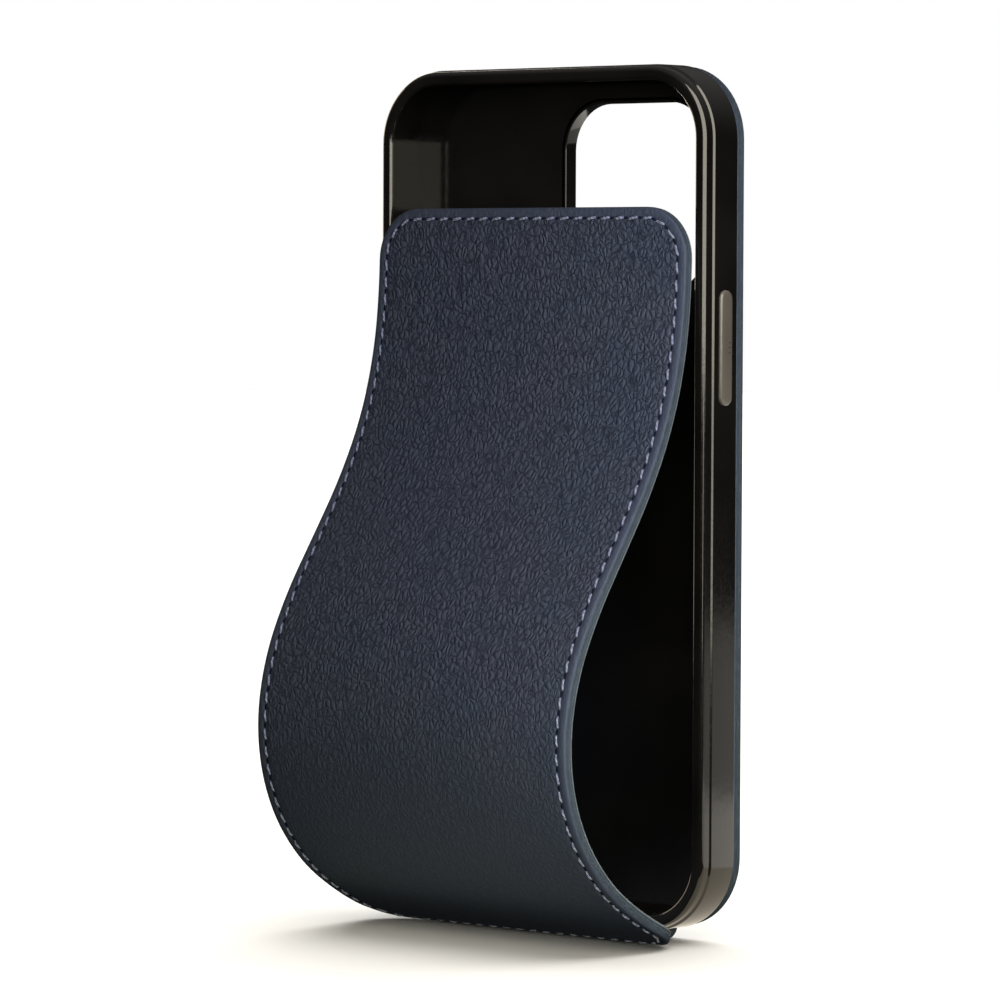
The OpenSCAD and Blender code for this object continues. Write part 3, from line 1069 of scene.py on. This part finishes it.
collar_end = panel_face - lip_y
collar_section = filleted([
    (0.0, tray_d - FLOOR_T, 0.15), (COLLAR_T, tray_d - FLOOR_T, 0.05), (COLLAR_T, collar_end, 0.35),
    (0.0, collar_end, 0.35)])
make_tray_piece("window_collar", swept_round(WINDOW_W, WINDOW_H, WINDOW_R, collar_section, window_x,
                                             window_z, ARC_STEPS), [])


# Buttons: crowned pills with three small ridges

BUTTON_RAISE = 0.6
BUTTON_BASE = BUTTON_GAP - WALL_T
TICK_COUNT, TICK_PITCH, TICK_L, TICK_W, TICK_H = 3, 0.95, 0.85, 0.28, 0.05
TICK_ACROSS = 0.55
# Steps across, length of a step along, and arc steps of the pads and ridges
PAD_STEPS, RIDGE_STEPS = (4, 2.0, 12), (3, 0.3, 4)
PAD_SLACK, RIDGE_SLACK = 0.02, 0.01


def make_button(name, length, side):
    crown = [(1.5, BUTTON_RAISE), (1.1, BUTTON_RAISE - 0.01), (0.7, BUTTON_RAISE - 0.04),
             (0.4, BUTTON_RAISE - 0.10), (0.18, BUTTON_RAISE - 0.20), (0.05, BUTTON_RAISE - 0.34),
             (0.0, BUTTON_RAISE - 0.5), (0.0, BUTTON_BASE + 0.1), (0.1, BUTTON_BASE), (1.5, BUTTON_BASE)]
    body = rounded_sheet(BUTTON_W, length, BUTTON_W / 2 - PAD_SLACK, crown, *PAD_STEPS)[:2]
    body[0][:, 1] -= length / 2
    parts = [body]
    for i in range(TICK_COUNT):
        ridge = [(0.14, TICK_H), (0.06, TICK_H - 0.02), (0.0, TICK_H - 0.08), (0.0, -0.1), (0.14, -0.1)]
        tick = rounded_sheet(TICK_L, TICK_W, TICK_W / 2 - RIDGE_SLACK, ridge, *RIDGE_STEPS)[:2]
        tick[0][:, 1] += (i - (TICK_COUNT - 1) / 2) * TICK_PITCH - TICK_W / 2
        tick[0][:, 0] += TICK_ACROSS
        tick[0][:, 2] += BUTTON_RAISE
        parts.append(tick)
    flat, faces = joined(parts)
    face_material = [int(i > 0) for i, part in enumerate(parts) for _ in part[1]]
    middle = button_mid[name]
    points = np.column_stack((side * (tray_w / 2 + flat[:, 2]), middle[Y] + flat[:, 0],
                              middle[Z] + flat[:, 1]))
    piece = make_piece(f"{name}_pad", points, faces, [button_mat, tray_mat], face_material)
    face_outwards(piece)
    crisp(piece)
    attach(piece, name)
    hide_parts(name)


make_button("side_button", SIDE_BUTTON_L, 1)
make_button("volume_up_button", VOLUME_BUTTON_L, -1)
make_button("volume_down_button", VOLUME_BUTTON_L, -1)


# Floor, light and camera

def seen_from(azimuth, elevation):
    """Directions to the right and towards a viewer; azimuth counts to the right from the front."""
    right = np.array((math.cos(azimuth), math.sin(azimuth), 0.0))
    level = math.cos(elevation)
    return right, np.array((math.sin(azimuth) * level, -math.cos(azimuth) * level, math.sin(elevation)))


AZIMUTH, ELEVATION, ROLL = math.radians(40.71), math.radians(2.388), math.radians(0.233)
PAPER_LEFT, PAPER_RIGHT, PAPER_FRONT, PAPER_BEHIND = 675.0, 520.0, 190.0, 5000.0
view_right, view_back = seen_from(AZIMUTH, 0.0)
floor_points = [across * view_right + towards * view_back
                for across, towards in ((-PAPER_LEFT, PAPER_FRONT), (PAPER_RIGHT, PAPER_FRONT),
                                        (PAPER_RIGHT, -PAPER_BEHIND), (-PAPER_LEFT, -PAPER_BEHIND))]
floor_look = Surface("pale_floor", Specular_IOR_Level=0.1)
floor_tone = floor_look.noise(floor_look.object_mm(), 0.02, 2.0)["Fac"]
floor_look.colour(floor_look.mix(floor_tone, opaque(0.88, 0.875, 0.865), opaque(0.91, 0.905, 0.895)))
floor_look.roughness(floor_tone, 0.7, 0.8, 0.3, 0.7)
make_piece("floor", np.array(floor_points), [(0, 1, 2, 3)], [floor_look.material])

scene = bpy.context.scene
scene.view_settings.view_transform = "Standard"
world = bpy.data.worlds.new("studio")
scene.world = world
world.use_nodes = True
background = world.node_tree.nodes["Background"]
background.inputs["Color"].default_value = opaque(1.0, 1.0, 1.0)
sky = Nodes(world.node_tree)
around = sky.add("ShaderNodeTexCoord").outputs["Generated"]
glow = sky.ramp(sky.add("ShaderNodeSeparateXYZ", {0: around}).outputs["Z"], 0.05, 0.9, 0.02, 0.23)
seen = sky.add("ShaderNodeLightPath").outputs["Is Camera Ray"]
shown = sky.add("ShaderNodeMix", {"Factor": seen, 2: glow, 3: 1.0}).outputs[0]
sky.feed(shown, background.inputs["Strength"])


def pose_matrix(right, up, back, place):
    rows = [(*axes, place[i] * MM) for i, axes in enumerate(np.column_stack((right, up, back)))]
    return Matrix(rows + [(0, 0, 0, 1)])


def place_lamp(light, azimuth, elevation, distance, aim):
    """Puts a lamp round the case, shining at a point."""
    right, back = seen_from(math.radians(azimuth), math.radians(elevation))
    lamp = bpy.data.objects.new(light.name, light)
    lamp.visible_camera = False
    lamp.matrix_world = pose_matrix(right, np.cross(back, right), back, np.array(aim) + back * distance)
    scene.collection.objects.link(lamp)
    return lamp


def softbox(name, width, tall, power, tint):
    light = bpy.data.lights.new(name, "AREA")
    light.shape = "RECTANGLE"
    light.size, light.size_y = width * MM, tall * MM
    light.energy = power
    light.color = tint
    return light


def overhead(name, strength, spread, tint):
    light = bpy.data.lights.new(name, "SUN")
    light.energy = strength
    light.angle = math.radians(spread)
    light.color = tint
    return light


def lights_only(lamp, pieces):
    """Keeps a lamp's light to some pieces."""
    lit = bpy.data.collections.new(f"lit_by_{lamp.name}")
    for piece in pieces:
        lit.objects.link(piece)
    lamp.light_linking.receiver_collection = lit


paper = [piece for piece in scene.objects if piece.name == "floor"]
moulded = [piece for piece in scene.objects if piece.type == "MESH"
           and piece.name.startswith(("tray", "window", "side_button", "volume"))]
soft = [piece for piece in scene.objects if piece.type == "MESH" and piece not in paper + moulded]
for sheet in paper:
    sheet.visible_diffuse = sheet.visible_glossy = False

WARM, SAND, DAY = (1.0, 0.965, 0.91), (1.0, 0.90, 0.74), (0.93, 1.0, 1.2)
DUSK, CREAM, IVORY, WHITE = (0.94, 1.0, 0.72), (1.0, 0.94, 0.80), (1.0, 0.98, 0.93), (1.0, 1.0, 1.0)
# Softboxes: size, power and tint; azimuth, elevation and distance; the point they shine at; what they light
LEVEL, FROM_BELOW = 0, -90
SOFTBOXES = (
    ("key", (100, 340, 0.90, DAY), (62, LEVEL, 170), (0.0, 0.0, 165.0), soft),
    ("low_box", (300, 60, 0.9, DUSK), (60, LEVEL, 260), (0.0, 0.0, 24.0), soft),
    ("belly_paper", (76, 45, 0.006, DUSK), (0, FROM_BELOW, 100), (0.0, -48.0, 101.0), soft),
    ("front_box", (1150, 1500, 32.0, WARM), (48, LEVEL, 700), (0.0, 0.0, 855.0), moulded),
    ("front_low", (130, 105, 0.2, WARM), (53.5, LEVEL, 735), (0.0, 0.0, 52.0), moulded),
    ("left_box", (1100, 500, 5.0, SAND), (-105, LEVEL, 800), (0.0, 0.0, 250.0), moulded),
    ("near_paper", (400, 165, 0.33, WARM), (139.5, FROM_BELOW, 100), (132.0, 108.0, 101.0), moulded),
    ("close_paper", (60, 72, 0.015, SAND), (139.5, FROM_BELOW, 100), (56.2, 16.5, 101.0), moulded),
    ("far_paper", (900, 575, 1.0, WARM), (139.5, FROM_BELOW, 100), (372.0, 389.0, 101.0), moulded),
    ("back_box", (900, 700, 9.0, DAY), (205, 15, 900), (0.0, 0.0, 100.0), soft))
WITHOUT_GLARE = ("key", "low_box", "belly_paper")
for name, look, seat, aim, lit in SOFTBOXES:
    lamp = place_lamp(softbox(name, *look), *seat, aim)
    lamp.visible_glossy = name not in WITHOUT_GLARE
    lights_only(lamp, lit)
# Overhead lights: strength, spread and tint; azimuth, elevation and distance; what they light
OVERHEADS = (
    ("top_light", (0.4, 60, WHITE), (30, 80, 1000), soft),
    ("paper_light", (3.9, 90, IVORY), (195, 68, 1000), paper),
    ("paper_fill", (2.1, 60, CREAM), (40, 25, 1000), paper))
for name, look, seat, lit in OVERHEADS:
    lights_only(place_lamp(overhead(name, *look), *seat, (0.0, 0.0, 0.0)), lit)

DISTANCE = 1023.37
TARGET = np.array((-13.85, 0.225, 83.70))
PHOTO_WIDTH, FOCAL_PIXELS = 1000.0, 5200.0
SENSOR_WIDTH = 36.0
CLIP_FROM, CLIP_TO = 0.05, 50.0
camera_data = bpy.data.cameras.new("camera")
camera_data.sensor_width = SENSOR_WIDTH
camera_data.lens = FOCAL_PIXELS / PHOTO_WIDTH * SENSOR_WIDTH
camera_data.clip_start, camera_data.clip_end = CLIP_FROM, CLIP_TO
camera = bpy.data.objects.new("camera", camera_data)
scene.collection.objects.link(camera)
_, back = seen_from(AZIMUTH, ELEVATION)
up = np.cross(back, view_right)
rolled_right = math.cos(ROLL) * view_right + math.sin(ROLL) * up
rolled_up = math.cos(ROLL) * up - math.sin(ROLL) * view_right
eye = TARGET + back * DISTANCE
camera.matrix_world = pose_matrix(rolled_right, rolled_up, back, eye)
scene.camera = camera
